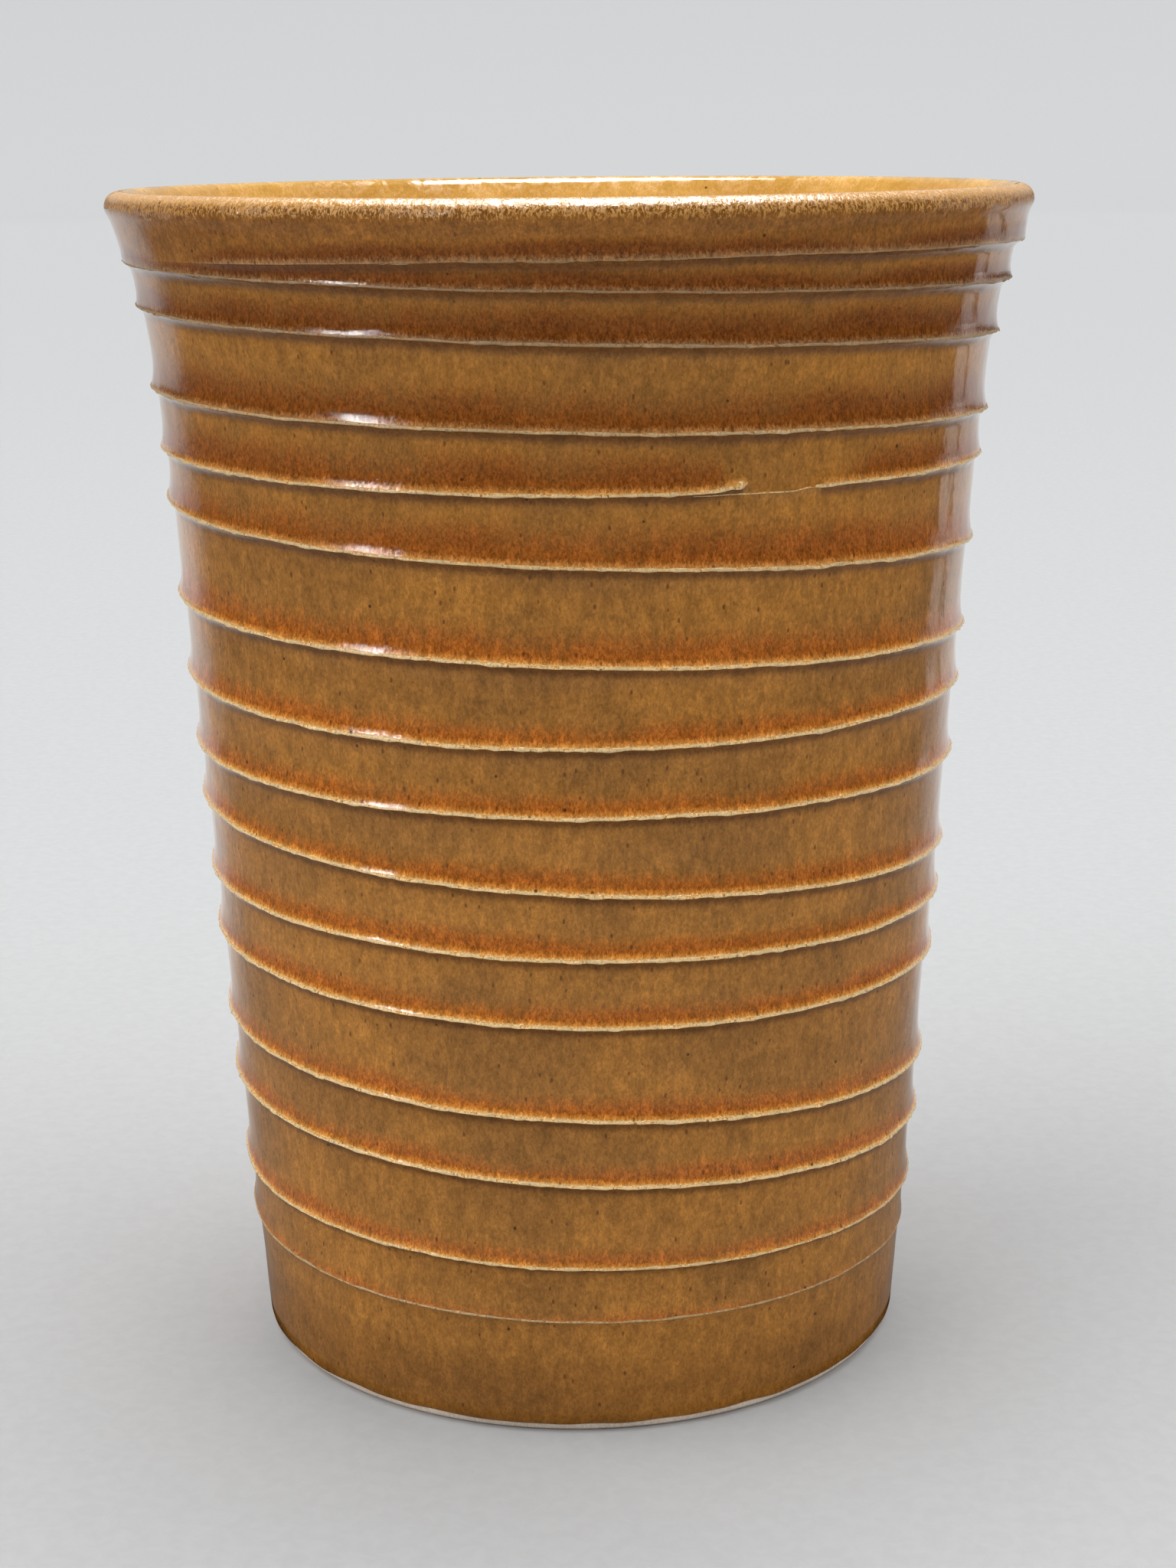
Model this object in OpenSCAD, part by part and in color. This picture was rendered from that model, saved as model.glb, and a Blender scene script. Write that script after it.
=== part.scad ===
// Hand-thrown stoneware tumbler for hot tea: a turned clay body under two glaze coats,
// with one raised ridge winding down the outside. Millimetres, +Z up, and the origin is
// at the middle of the foot, on the surface that the cup stands on.

/* [Cup] */
// Height from the table to the top of the lip
height = 106; // [90:1:130]
// Outer diameter that the wall has where it meets the table
foot_d = 60.4; // [54:0.2:66]
// Largest outer diameter, across the lip
lip_d = 81.8; // [76:0.2:90]
// Lean of the wall just under the lip, in degrees from upright
flare_angle = 29; // [18:1:36]
// Height over which the flare dies away below the lip
flare_length = 6; // [4:0.5:9]

/* [Clay] */
// Wall thickness at the foot, with its glaze
foot_wall = 4.6; // [3.4:0.1:6]
// Wall thickness at the lip, with its glaze
lip_wall = 2.6; // [2:0.1:4]
// Floor thickness from the table to the inside, with its glaze
floor_thick = 6; // [4.5:0.1:9]
// Radius between the inner wall and the floor
floor_round = 9; // [4:0.5:14]
// Radius of the bare edge around the foot
foot_round = 0.8; // [0.4:0.1:1]
// Diameter of the shallow recess under the foot
recess_d = 46; // [36:0.5:52]
// Depth of the recess under the foot
recess_depth = 1.2; // [0.6:0.1:2]

/* [Glaze] */
// Thickness of both glaze coats
glaze_thick = 0.35; // [0.2:0.05:0.6]
// Height of the bare clay that shows below the outer coat
bare_line = 1.1; // [1:0.1:4]

/* [Ridge] */
// How far the ridge's crest stands out of the glazed wall
ridge_out = 0.75; // [0.4:0.05:1.2]
// Height of the steep side below the crest
ridge_under = 0.6; // [0.3:0.05:1]
// Height of the hollow slope above the crest
ridge_over = 2.2; // [1.2:0.1:3]
// Gap between the ridge's back and the glazed wall
ridge_seat = 0.03; // [0.01:0.01:0.1]
// Turn on which the ridge starts, counted at the front from the lip
start_turn = 0.88; // [0.86:0.01:0.98]
// Turn on which the ridge breaks off
break_turn = 5.06; // [4.9:0.01:5.06]
// Turn on which the ridge goes on after the break
resume_turn = 5.09; // [5.09:0.01:5.2]
// Turn on which the ridge ends above the foot
end_turn = 16.2; // [15.6:0.05:16.2]

/* [Hidden] */
// Shares of the height at which each turn passes the left side, the front and the right side
ridge_shares = [
    [0.946, 0.958, 0.957],
    [0.946, 0.934, 0.924],
    [0.910, 0.896, 0.882],
    [0.842, 0.832, 0.818],
    [0.792, 0.784, 0.782],
    [0.750, 0.730, 0.710],
    [0.668, 0.656, 0.634],
    [0.602, 0.588, 0.592],
    [0.540, 0.536, 0.526],
    [0.496, 0.474, 0.444],
    [0.430, 0.420, 0.402],
    [0.376, 0.362, 0.352],
    [0.300, 0.286, 0.250],
    [0.246, 0.228, 0.196],
    [0.162, 0.154, 0.136],
    [0.112, 0.104, 0.096]
];
// Share of a turn between the front and the two sides where the turns are placed
side_turn_share = 0.22;
// Share of a turn over which the ridge's climb is evened out, to each side
even_turn_share = 0.1;
// Samples to each side when the climb is evened out
even_steps = 2;
// Rings in one turn of the ridge
turn_rings = 48;
// Shares of a turn over which the ridge swells at its start, at the break and fades at its end
swell_turn_share = 0.06;
tip_turn_share = 0.012;
fade_turn_share = 1.6;
// Share of the full ridge that is left at its very ends
tip_share = 0.25;
// Shares of the room to the next turn that the slope and the steep side may take
over_room_share = 0.6;
under_room_share = 0.2;
// Where the hollow of the slope lies, as shares of its height and of the crest
hollow_up_share = 0.3;
hollow_out_share = 0.38;
// Steps in the wall's curve and in each round
wall_steps = 22;
round_steps = 10;
turn_fn = 96;

foot_r = foot_d / 2;
lip_r = lip_wall / 2;
lip_z = height - lip_r;
lip_c = lip_d / 2 - lip_r;
lip_centre = [lip_c, lip_z];
// Point where the outer wall runs into the round of the lip
join_r = lip_c + lip_r * cos(flare_angle);
join_z = lip_z - lip_r * sin(flare_angle);
// Slope of the straight lower wall, and how far the flare carries the lip past it
taper = (join_r - foot_r - flare_length * tan(flare_angle)) / (join_z - flare_length);
flare_out = (tan(flare_angle) - taper) * flare_length;
low_lean = atan(taper);
low_normal = [cos(low_lean), -sin(low_lean)];

// Glazed outer radius, lean and thickness of the wall at a height
function flare_share(z) = exp((z - join_z) / flare_length);
function wall_r(z) = foot_r + taper * z + flare_out * flare_share(z);
function wall_lean(z) = atan(taper + flare_out / flare_length * flare_share(z));
function wall_thick(z) = foot_wall + (lip_wall - foot_wall) * z / join_z;

// Point of the wall's section, a depth under the glazed outer surface
function wall_point(z, depth) = [wall_r(z) - depth * cos(wall_lean(z)), z + depth * sin(wall_lean(z))];

// Heights from one level up to the lip, closer together where the wall flares
function climb(from) = [
    for (i = [0 : wall_steps]) join_z - (join_z - from) * pow(1 - i / wall_steps, 2)
];
function turned(list) = [for (i = [len(list) - 1 : -1 : 0]) list[i]];

// Points of an arc, from step first to step last of round_steps
function arc(centre, r, from, to, first, last) = [
    for (i = [first : last])
        let (a = from + (to - from) * i / round_steps)
            centre + r * [cos(a), sin(a)]
];

// Round between the inner wall and the floor
corner_z = floor_thick + floor_round * (1 - sin(low_lean))
    - wall_thick(floor_thick + floor_round) * sin(low_lean);
corner_centre = wall_point(corner_z, wall_thick(corner_z)) - floor_round * low_normal;

// Round of the bare foot
edge_z = foot_round * (1 - sin(low_lean)) - glaze_thick * sin(low_lean);
edge_centre = wall_point(edge_z, glaze_thick) - foot_round * low_normal;

function lip_top(depth) = [lip_c, lip_z + lip_r - depth];

// Section from the glaze's lower edge to just short of the lip's top
function outer_line(depth) = concat(
    [for (z = climb(bare_line)) wall_point(z, depth)],
    arc(lip_centre, lip_r - depth, -flare_angle, 90, 1, round_steps - 1)
);

// Section from just past the lip's top down to the middle of the inside floor
function inner_line(depth) = concat(
    arc(lip_centre, lip_r - depth, 90, 180 - flare_angle, 1, round_steps - 1),
    [for (z = turned(climb(corner_z))) wall_point(z, wall_thick(z) - depth)],
    arc(corner_centre, floor_round + depth, -low_lean, -90, 1, round_steps),
    [[0, corner_centre[1] - floor_round - depth]]
);

// Section of the underside: recess, flat ring and the foot's round edge
foot_line = concat(
    [[0, recess_depth], [recess_d / 2 - recess_depth, recess_depth], [recess_d / 2, 0]],
    arc(edge_centre, foot_round, -90, -low_lean, 0, round_steps)
);

// Height of the ridge's crest on a turn, evened out over neighbouring places
ridge_places = [
    for (k = [0 : len(ridge_shares) - 1], side = [-1 : 1])
        [k + 1 + side * side_turn_share, ridge_shares[k][side + 1]]
];
function near(turn) = [
    for (i = [-even_steps : even_steps]) lookup(turn + i / even_steps * even_turn_share, ridge_places)
];
function mean(list) = list * [for (x = list) 1] / len(list);
function ridge_z(turn) = height * mean(near(turn));
function room(turn) = ridge_z(turn) - ridge_z(turn + 1);

// Share of the full ridge that stands on a turn, between a swelling start and a fading end
function swell(turn, from, to, grow, fade) =
    min(1, tip_share + (turn - from) / grow, tip_share + (to - turn) / fade);

// Point at a height, an amount out of the wall, far enough out for flat chords to clear it
function ridge_point(turn, z, out) =
    let (r = (wall_r(z) + ridge_seat) / cos(180 / turn_rings) + out, a = 360 * turn - 90)
        [r * cos(a), r * sin(a), z];

// Section of the ridge on one turn: steep below the crest, hollow above it
function ridge_ring(turn, share) =
    let (
        z = ridge_z(turn),
        above = turn < start_turn + 1 ? ridge_over : over_room_share * room(turn - 1),
        over = share * min(ridge_over, above),
        under = share * min(ridge_under, under_room_share * max(room(turn), ridge_under)),
        out = share * ridge_out
    ) [
        ridge_point(turn, z - under, 0),
        ridge_point(turn, z, out),
        ridge_point(turn, z + hollow_up_share * over, hollow_out_share * out),
        ridge_point(turn, z + over, 0)
    ];

// One run of the ridge between two turns
module ridge_run(from, to, grow, fade) {
    rings = ceil((to - from) * turn_rings);
    turns = [for (i = [0 : rings]) from + (to - from) * i / rings];
    sides = 4;
    last = rings * sides;
    polyhedron(
        points = [for (turn = turns) each ridge_ring(turn, swell(turn, from, to, grow, fade))],
        faces = concat(
            [[0, 1, 2], [0, 2, 3], [last, last + 2, last + 1], [last, last + 3, last + 2]],
            [
                for (i = [0 : rings - 1], j = [0 : sides - 1])
                    let (a = i * sides + j, b = i * sides + (j + 1) % sides)
                        each [[a, a + sides, b], [b, a + sides, b + sides]]
            ]
        )
    );
}

module turn_section(points) {
    rotate_extrude($fn = turn_fn) polygon(points);
}

// Thrown wall and floor in one lump of buff stoneware
module clay_body() {
    color("burlywood")
        turn_section(concat(foot_line, outer_line(glaze_thick), [lip_top(glaze_thick)], inner_line(glaze_thick)));
}

// Amber coat on the outside, from the bare foot to the top of the lip
module outer_glaze() {
    color("peru")
        turn_section(concat(outer_line(0), [lip_top(0), lip_top(glaze_thick)], turned(outer_line(glaze_thick))));
}

// Honey-coloured coat on the inside, from the top of the lip to the floor
module liner_glaze() {
    color("goldenrod")
        turn_section(concat([lip_top(0)], inner_line(0), turned(inner_line(glaze_thick)), [lip_top(glaze_thick)]));
}

// Raised ridge from below the lip to the break
module upper_ridge() {
    color("wheat")
        ridge_run(start_turn, break_turn, swell_turn_share, tip_turn_share);
}

// Raised ridge from the break to where it fades above the foot
module lower_ridge() {
    color("wheat")
        ridge_run(resume_turn, end_turn, tip_turn_share, fade_turn_share);
}

clay_body();
outer_glaze();
liner_glaze();
upper_ridge();
lower_ridge();
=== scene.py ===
import math

import bpy
import numpy as np
from mathutils import Matrix, Vector, noise


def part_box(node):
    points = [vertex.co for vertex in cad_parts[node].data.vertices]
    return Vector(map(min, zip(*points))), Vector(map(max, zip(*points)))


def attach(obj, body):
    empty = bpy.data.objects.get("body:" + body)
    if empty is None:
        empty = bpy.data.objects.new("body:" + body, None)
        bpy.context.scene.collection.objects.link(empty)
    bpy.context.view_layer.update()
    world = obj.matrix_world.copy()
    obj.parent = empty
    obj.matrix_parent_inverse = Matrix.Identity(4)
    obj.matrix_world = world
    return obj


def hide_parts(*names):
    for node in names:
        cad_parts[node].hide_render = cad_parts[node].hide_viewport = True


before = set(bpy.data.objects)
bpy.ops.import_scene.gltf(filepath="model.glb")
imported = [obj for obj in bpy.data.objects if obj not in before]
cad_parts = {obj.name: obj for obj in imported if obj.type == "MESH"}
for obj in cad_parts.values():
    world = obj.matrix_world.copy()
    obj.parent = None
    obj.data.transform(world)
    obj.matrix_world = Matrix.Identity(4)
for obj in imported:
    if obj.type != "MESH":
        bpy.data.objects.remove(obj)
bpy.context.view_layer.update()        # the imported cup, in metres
mm = 0.001
scene = bpy.context.scene
print("loaded the packed cup")

# the cup's own sizes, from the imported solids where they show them
cup = {
    "height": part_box("outer_glaze")[1].z,
    "lipRadius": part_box("outer_glaze")[1].x,
    "footRadius": 30.2 * mm,
    "flareAngle": math.radians(29),     # lean of the wall just under the lip
    "flareLength": 6 * mm,              # height over which the flare dies away
    "footWall": 4.6 * mm,
    "cornerWall": 4.4 * mm,             # beside the round to the floor
    "lipWall": 2.6 * mm,
    "floorThick": 6 * mm,
    "floorRound": 9 * mm,
    "footRound": 0.8 * mm,
    "recessRadius": 23 * mm,
    "recessFlat": 21.6 * mm,            # radius of the flat part of the recess
    "recessDepth": 1.2 * mm,
    "ringDepth": 0.04 * mm,             # faint turning rings in the recess
    "ringWidth": 0.5 * mm,
    "ringPoints": 60,
    "glazeThick": 0.35 * mm,
    "bareLine": 0.85 * mm,              # clay that shows below the outer glaze
    "backRows": 18,                     # down the back of the outer glaze, closer together under the lip
    "backCrowding": 1.7,
    "columns": 240,                     # round the clay and the liner
    "lipSteps": 14,                     # in the rounds of the lip, of its back and of the foot
    "lipBackSteps": 6,
    "footSteps": 8,
    "weld": 0.003 * mm,
    "poleWeld": 0.0001 * mm,
}

lipR = cup["lipWall"] / 2
lipZ = cup["height"] - lipR
lipC = cup["lipRadius"] - lipR
joinZ = lipZ - lipR * math.sin(cup["flareAngle"])       # where the wall runs into the lip's round
joinR = lipC + lipR * math.cos(cup["flareAngle"])
flareSlope = math.tan(cup["flareAngle"])
taper = (joinR - cup["footRadius"] - cup["flareLength"] * flareSlope) / (joinZ - cup["flareLength"])
flareOut = (flareSlope - taper) * cup["flareLength"]
lowLean = math.atan(taper)


def wallRadius(z):
    return cup["footRadius"] + taper * z + flareOut * np.exp((z - joinZ) / cup["flareLength"])


def wallLean(z):
    return np.arctan(taper + flareOut / cup["flareLength"] * np.exp((z - joinZ) / cup["flareLength"]))


def wallThick(z):
    return cup["footWall"] + (cup["lipWall"] - cup["footWall"]) * z / joinZ


def wallPoint(z, depth):
    lean = wallLean(z)
    return Vector((wallRadius(z) - depth * math.cos(lean), 0, z + depth * math.sin(lean)))


backShares = [(i / cup["backRows"]) ** cup["backCrowding"] for i in range(1, cup["backRows"] + 1)]
backHeights = [joinZ - (joinZ - cup["bareLine"]) * share for share in backShares]


def arcPoints(centre, radius, start, end, steps):
    turn = [start + (end - start) * i / steps for i in range(steps + 1)]
    return [Vector((centre[0] + radius * math.cos(a), 0, centre[1] + radius * math.sin(a))) for a in turn]


def lipArc(radius, start, end, steps):
    return arcPoints((lipC, lipZ), radius, start, end, steps)


# the ridge's route, the same shares of the height as in the solids: left side, front, right side
ridge = {
    "shares": [
        (0.946, 0.958, 0.957), (0.946, 0.934, 0.924), (0.910, 0.896, 0.882), (0.842, 0.832, 0.818),
        (0.792, 0.784, 0.782), (0.750, 0.730, 0.710), (0.668, 0.656, 0.634), (0.602, 0.588, 0.592),
        (0.540, 0.536, 0.526), (0.496, 0.474, 0.444), (0.430, 0.420, 0.402), (0.376, 0.362, 0.352),
        (0.300, 0.286, 0.250), (0.246, 0.228, 0.196), (0.162, 0.154, 0.136), (0.112, 0.104, 0.096),
    ],
    "sideTurn": 0.22,       # turn between the front and each side
    "evenTurn": 0.1,        # the climb is evened out over this much of a turn to each side
    "evenSteps": 2,
    "start": 0.83,          # splits off the second turn
    "splitTurns": 0.05,     # and grows over this much of a turn
    "breakOff": 5.0615,
    "tipTurns": 0.002,      # the upper run ends over this much of a turn
    "hookTurns": 0.022,     # its tip hooks up over this much
    "hookUp": 0.75 * mm,
    "resume": 5.087,
    "onset": 2.5,           # the lower run begins over this many times the tip's turns
    "dip": 0.2 * mm,        # the line across the break lies lower
    "dropTurns": 0.004,     # over which it drops, and rises again
    "riseTurns": 0.006,
    "fadeTurns": (14.6, 15.6, 16.0, 16.22, 16.34),
    "fadeShares": (1, 0.8, 0.6, 0.45, 0),
    "breakShare": 0.36,     # low line that bridges the break
    "out": 0.52 * mm,       # crest above the wall
    # the upper turns stand out further, most of all to the right
    "outTurns": (0.83, 1, 1.22, 1.5, 1.78, 2, 2.22, 2.78, 3, 3.22, 3.78, 4.22, 4.78, 5.3, 6),
    "outShares": (0.5, 0.85, 1.3, 1.05, 0.9, 1.1, 1.35, 0.88, 1.05, 1.2, 1, 1.15, 0.86, 0.9, 1),
    "wobbleOut": 0.13,      # share of the crest that comes and goes
    "outWaves": (55, 8.5),  # waves in a turn, and a seed
    "wobbleUp": 0.09 * mm,
    "upWaves": (38, 1.5),
    "fineWaves": (130, 4.5),
    "fineShare": 0.5,
    "livelyRate": 8,        # the wobble grows at this rate by turn
    "calmTurn": 16.9,       # and is gone here, before the last ring
    "calmRate": 4,
    # dull crests on the upper turns, bright ones further down
    "brightTurns": (1, 2, 3, 4, 5, 6, 7, 11, 14.8, 15.6, 16.3),
    "brightShares": (0.15, 0, 0.1, 0.4, 0.78, 0.72, 0.92, 1, 1, 0.55, 0.35),
}

# the mesh of the wall winds down with the ridge, from a level ring under the lip to one above the foot
winding = {
    "firstTurn": -0.75,
    "turns": 18,
    "steps": 336,           # columns in a turn
    "topRing": 103.9 * mm,
    "bottomRing": 3.0 * mm,
    "leadIn": (0.55, 102.2 * mm),                       # turn and height between the top ring and the ridge
    "leadOut": ((16.7, 7.6 * mm), (16.95, 5.4 * mm)),   # and between the ridge and the bottom ring
    "lipSettle": 1.2 * mm,  # the crests die out over this below the top ring
    "pitch": 26 * mm,       # of the plain winding, before it is thrown to shape
    "radius": 35 * mm,
    "weld": 0.05 * mm,
    "under": (0, 0.12 * mm, 0.28 * mm, 0.52 * mm, 0.9 * mm),                    # rows below a crest
    "between": 2,           # rows between these and the next ones
    "over": (2.3 * mm, 1.35 * mm, 0.8 * mm, 0.46 * mm, 0.24 * mm, 0.1 * mm),    # rows above the next crest
    "fullBand": 4.2 * mm,   # narrower bands squeeze their rows
    "wideBand": 6.2 * mm,   # narrower bands have less rust
    "leastReach": 0.55,     # share of the reach that the narrowest keep
    "overReach": 5 * mm,    # how far the glaze's colour follows a crest, above it and below it
    "underReach": 4 * mm,
    "colourTip": 0.012,     # turns over which the rust ends at the break
    "nearCrest": 1.2 * mm,
    "dullNear": 0.65,       # share of the thin glaze by a dull crest
    "reachTurns": (1, 2, 3, 4, 5, 6, 8, 14.6, 15.4),     # less rust on the lower turns
    "reachShares": (1.1, 1.05, 1.5, 1.1, 1.35, 1.2, 0.7, 0.7, 0.45),
}
lastTurn = winding["firstTurn"] + winding["turns"]
bandRows = len(winding["under"]) + winding["between"] + len(winding["over"])

route = [(winding["firstTurn"], winding["topRing"])]
route += [(winding["firstTurn"] + 1 + ridge["evenTurn"], winding["topRing"]), winding["leadIn"]]
for turn, row in enumerate(ridge["shares"], start=1):
    for side, share in zip((-1, 0, 1), row):
        route.append((turn + side * ridge["sideTurn"], share * cup["height"]))
route += winding["leadOut"]
route += [(lastTurn - ridge["evenTurn"], winding["bottomRing"]), (lastTurn + 1, winding["bottomRing"])]
routeTurns, routeHeights = zip(*route)
offGrid = 0.37      # noise is zero on the points of its grid


def ripple(values, size, seed):
    return np.array([noise.noise((v * size, seed, offGrid)) for v in values])


def routeHeight(turns):
    turns = np.asarray(turns, float)
    steps = ridge["evenSteps"]
    shifts = [k * ridge["evenTurn"] / steps for k in range(-steps, steps + 1)]
    z = np.mean([np.interp(turns + shift, routeTurns, routeHeights) for shift in shifts], axis=0)
    z = np.where(turns <= winding["firstTurn"] + 1, winding["topRing"], z)
    return np.where(turns >= lastTurn, winding["bottomRing"], z)


def parted(turns):
    return np.clip((turns - ridge["start"]) / ridge["splitTurns"], 0, 1)


def ridgeShare(turns, tip=ridge["tipTurns"]):
    turns = np.asarray(turns, float)
    fade = np.interp(turns, ridge["fadeTurns"], ridge["fadeShares"])
    tipOff = np.clip((ridge["breakOff"] - turns) / tip, 0, 1)
    tipOn = np.clip((turns - ridge["resume"]) / (ridge["onset"] * tip), 0, 1)
    whole = np.maximum(np.maximum(tipOff, tipOn), ridge["breakShare"])
    return parted(turns) * fade * whole


def beforeBreak(turns):
    return np.clip((ridge["breakOff"] - turns) / ridge["dropTurns"] + 1, 0, 1)


def hook(turns):
    rise = np.clip((turns - ridge["breakOff"]) / ridge["hookTurns"] + 1, 0, 1) ** 2
    return ridge["hookUp"] * rise * beforeBreak(turns)


def broken(turns):
    begun = np.clip((turns - ridge["breakOff"]) / ridge["dropTurns"], 0, 1)
    return begun * np.clip((ridge["resume"] - turns) / ridge["riseTurns"], 0, 1)


def crestHeight(turns):
    turns = np.asarray(turns)
    lively = np.clip((turns - ridge["start"]) * ridge["livelyRate"], 0, 1)
    lively = lively * np.clip((ridge["calmTurn"] - turns) * ridge["calmRate"], 0, 1)
    wobble = ripple(turns, *ridge["upWaves"]) + ridge["fineShare"] * ripple(turns, *ridge["fineWaves"])
    z = routeHeight(turns) + lively * ridge["wobbleUp"] * wobble
    return z + hook(turns) - ridge["dip"] * broken(turns)


def crestOut(turns):
    out = ridge["out"] * np.interp(turns, ridge["outTurns"], ridge["outShares"])
    return out * ridgeShare(turns) * (1 + ridge["wobbleOut"] * ripple(turns, *ridge["outWaves"]))


def crestBright(turns):
    return np.interp(turns, ridge["brightTurns"], ridge["brightShares"])


# the wall's rise to a crest, as shares of the crest and the heights over which they die away
slope = {
    "broad": 0.72,
    "broadReach": 1.2 * mm,
    "broadPower": 1.3,
    "sharp": 0.18,
    "sharpReach": 0.22 * mm,
    "faint": 0.1,
    "faintReach": 4 * mm,
    "underReach": 0.7 * mm,     # the undercut below the crest
    "underPower": 1.4,
    "curled": 0.3,              # share of this rise in the first band, which else runs straight to the lip
    "lipClear": 0.1 * mm,
}


def overSlope(y):
    broad = slope["broad"] * np.exp(-(np.maximum(y, 0) / slope["broadReach"]) ** slope["broadPower"])
    sharp = slope["sharp"] * np.exp(-y / slope["sharpReach"])
    return broad + sharp + slope["faint"] * np.exp(-y / slope["faintReach"])


def slopeOver(turns, y, crestZ):
    straight = np.clip(1 - y / (winding["topRing"] - crestZ + slope["lipClear"]), 0, 1)
    first = slope["curled"] * overSlope(y) + (1 - slope["curled"]) * straight
    return first + parted(turns) * (overSlope(y) - first)


def underSlope(y):
    return np.clip(1 - y / slope["underReach"], 0, 1) ** slope["underPower"]


def turnAngle(turns):
    return 2 * math.pi * turns - math.pi / 2


def aroundCup(radius, angle, z):
    return np.stack([radius * np.cos(angle), radius * np.sin(angle), z], axis=1)


# the wall's slight unevenness
hand = {
    "depth": 0.1 * mm,
    "broadWaves": (90, 90, 110),    # in a metre
    "fineWaves": (400, 400, 400),
    "fineShare": 0.25,
    "settle": 4 * mm,               # it dies out over this towards the level rings
}


def handMade(angle, radius, z):
    places = aroundCup(radius, angle, z)
    broad = np.array([noise.noise(place) for place in places * hand["broadWaves"]])
    fine = np.array([noise.noise(place) for place in places * hand["fineWaves"]])
    fromRing = np.minimum(winding["topRing"] - z, z - winding["bottomRing"])
    settled = np.clip(fromRing / hand["settle"], 0, 1)
    settled = settled * settled * (3 - 2 * settled)
    return settled * (broad + hand["fineShare"] * fine) * hand["depth"]


# small helpers for modelling
def selectOnly(*pieces):
    bpy.ops.object.select_all(action="DESELECT")
    for piece in pieces:
        piece.select_set(True)
    bpy.context.view_layer.objects.active = pieces[0]


def drawProfile(name, points, closed=False):
    bpy.ops.object.select_all(action="DESELECT")
    bpy.ops.mesh.primitive_plane_add(size=mm)
    piece = bpy.context.object
    piece.name = piece.data.name = name
    bpy.ops.object.mode_set(mode="EDIT")
    bpy.ops.mesh.select_all(action="SELECT")
    bpy.ops.mesh.merge(type="CENTER")
    bpy.ops.transform.translate(value=points[0])
    for a, b in zip(points, points[1:]):
        bpy.ops.mesh.extrude_region_move(TRANSFORM_OT_translate={"value": b - a})
    if closed:
        bpy.ops.mesh.select_all(action="DESELECT")
        bpy.ops.object.mode_set(mode="OBJECT")
        for i in (0, len(points) - 1):
            piece.data.vertices[i].select = True
        bpy.ops.object.mode_set(mode="EDIT")
        bpy.ops.mesh.edge_face_add()
    bpy.ops.object.mode_set(mode="OBJECT")
    return piece


def turnOnWheel(piece, steps, drop=0.0, turns=1):
    wheel = piece.modifiers.new("wheel", "SCREW")
    wheel.axis = "Z"
    wheel.angle = 2 * math.pi
    wheel.steps = wheel.render_steps = steps
    wheel.screw_offset = -drop
    wheel.iterations = turns
    wheel.use_merge_vertices = drop == 0
    wheel.merge_threshold = cup["poleWeld"]
    selectOnly(piece)
    bpy.ops.object.modifier_apply(modifier=wheel.name)


def weld(piece, distance):
    selectOnly(piece)
    bpy.ops.object.mode_set(mode="EDIT")
    bpy.ops.mesh.select_all(action="SELECT")
    bpy.ops.mesh.remove_doubles(threshold=distance)
    bpy.ops.mesh.dissolve_degenerate(threshold=distance)
    bpy.ops.mesh.normals_make_consistent(inside=False)
    bpy.ops.object.mode_set(mode="OBJECT")
    bpy.ops.object.shade_smooth()


def readPoints(piece):
    points = np.zeros(len(piece.data.vertices) * 3)
    piece.data.vertices.foreach_get("co", points)
    return points.reshape(-1, 3)


def writePoints(piece, points):
    piece.data.vertices.foreach_set("co", points.ravel())
    piece.data.update()


def setAttribute(piece, name, values):
    layer = piece.data.attributes.new(name, "FLOAT", "POINT")
    layer.data.foreach_set("value", np.asarray(values, np.float32))


def finishPiece(piece, material, slotName, *nodes):
    piece.data.materials.clear()
    piece.data.materials.append(material)
    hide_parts(*nodes)
    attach(piece, "root")
    print("made", piece.name, len(piece.data.polygons), "faces")


# materials
def addNode(tree, kind, inputs=None, **settings):
    made = tree.nodes.new(kind)
    for key, value in settings.items():
        setattr(made, key, value)
    for key, value in (inputs or {}).items():
        socket = made.inputs[key]
        if isinstance(value, bpy.types.NodeSocket):
            tree.links.new(value, socket)
        else:
            socket.default_value = value
    return made


def mathNode(tree, operation, a, b, clamp=False):
    return addNode(tree, "ShaderNodeMath", {0: a, 1: b}, operation=operation, use_clamp=clamp).outputs[0]


def remap(tree, value, low, high, toLow=0.0, toHigh=1.0):
    sockets = {"Value": value, "From Min": low, "From Max": high, "To Min": toLow, "To Max": toHigh}
    return addNode(tree, "ShaderNodeMapRange", sockets, interpolation_type="SMOOTHSTEP").outputs["Result"]


def blendColour(tree, share, a, b, how="MIX"):
    made = addNode(tree, "ShaderNodeMix", data_type="RGBA", blend_type=how)
    for key, value in (("Factor_Float", share), ("A_Color", a), ("B_Color", b)):
        socket = next(s for s in made.inputs if s.identifier == key)
        if isinstance(value, bpy.types.NodeSocket):
            tree.links.new(value, socket)
        else:
            socket.default_value = value if key == "Factor_Float" else (*value, 1)
    return next(s for s in made.outputs if s.identifier == "Result_Color")


def newMaterial(name, **sockets):
    made = bpy.data.materials.new(name)
    made.use_nodes = True
    shader = made.node_tree.nodes["Principled BSDF"]
    for key, value in sockets.items():
        shader.inputs[key.replace("_", " ")].default_value = value
    return made, made.node_tree, shader


def objectPlace(tree):
    return addNode(tree, "ShaderNodeTexCoord").outputs["Object"]


def heightOn(tree):
    return addNode(tree, "ShaderNodeSeparateXYZ", {0: objectPlace(tree)}).outputs["Z"]


def readAttribute(tree, name):
    return addNode(tree, "ShaderNodeAttribute", attribute_name=name).outputs["Fac"]


# features in a metre, for the patterns that all the glazes share
grain = {"broad": 85, "mottle": 620, "fibre": 4800, "streak": 1500, "speck": 300, "fleck": 820, "wave": 430}


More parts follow.
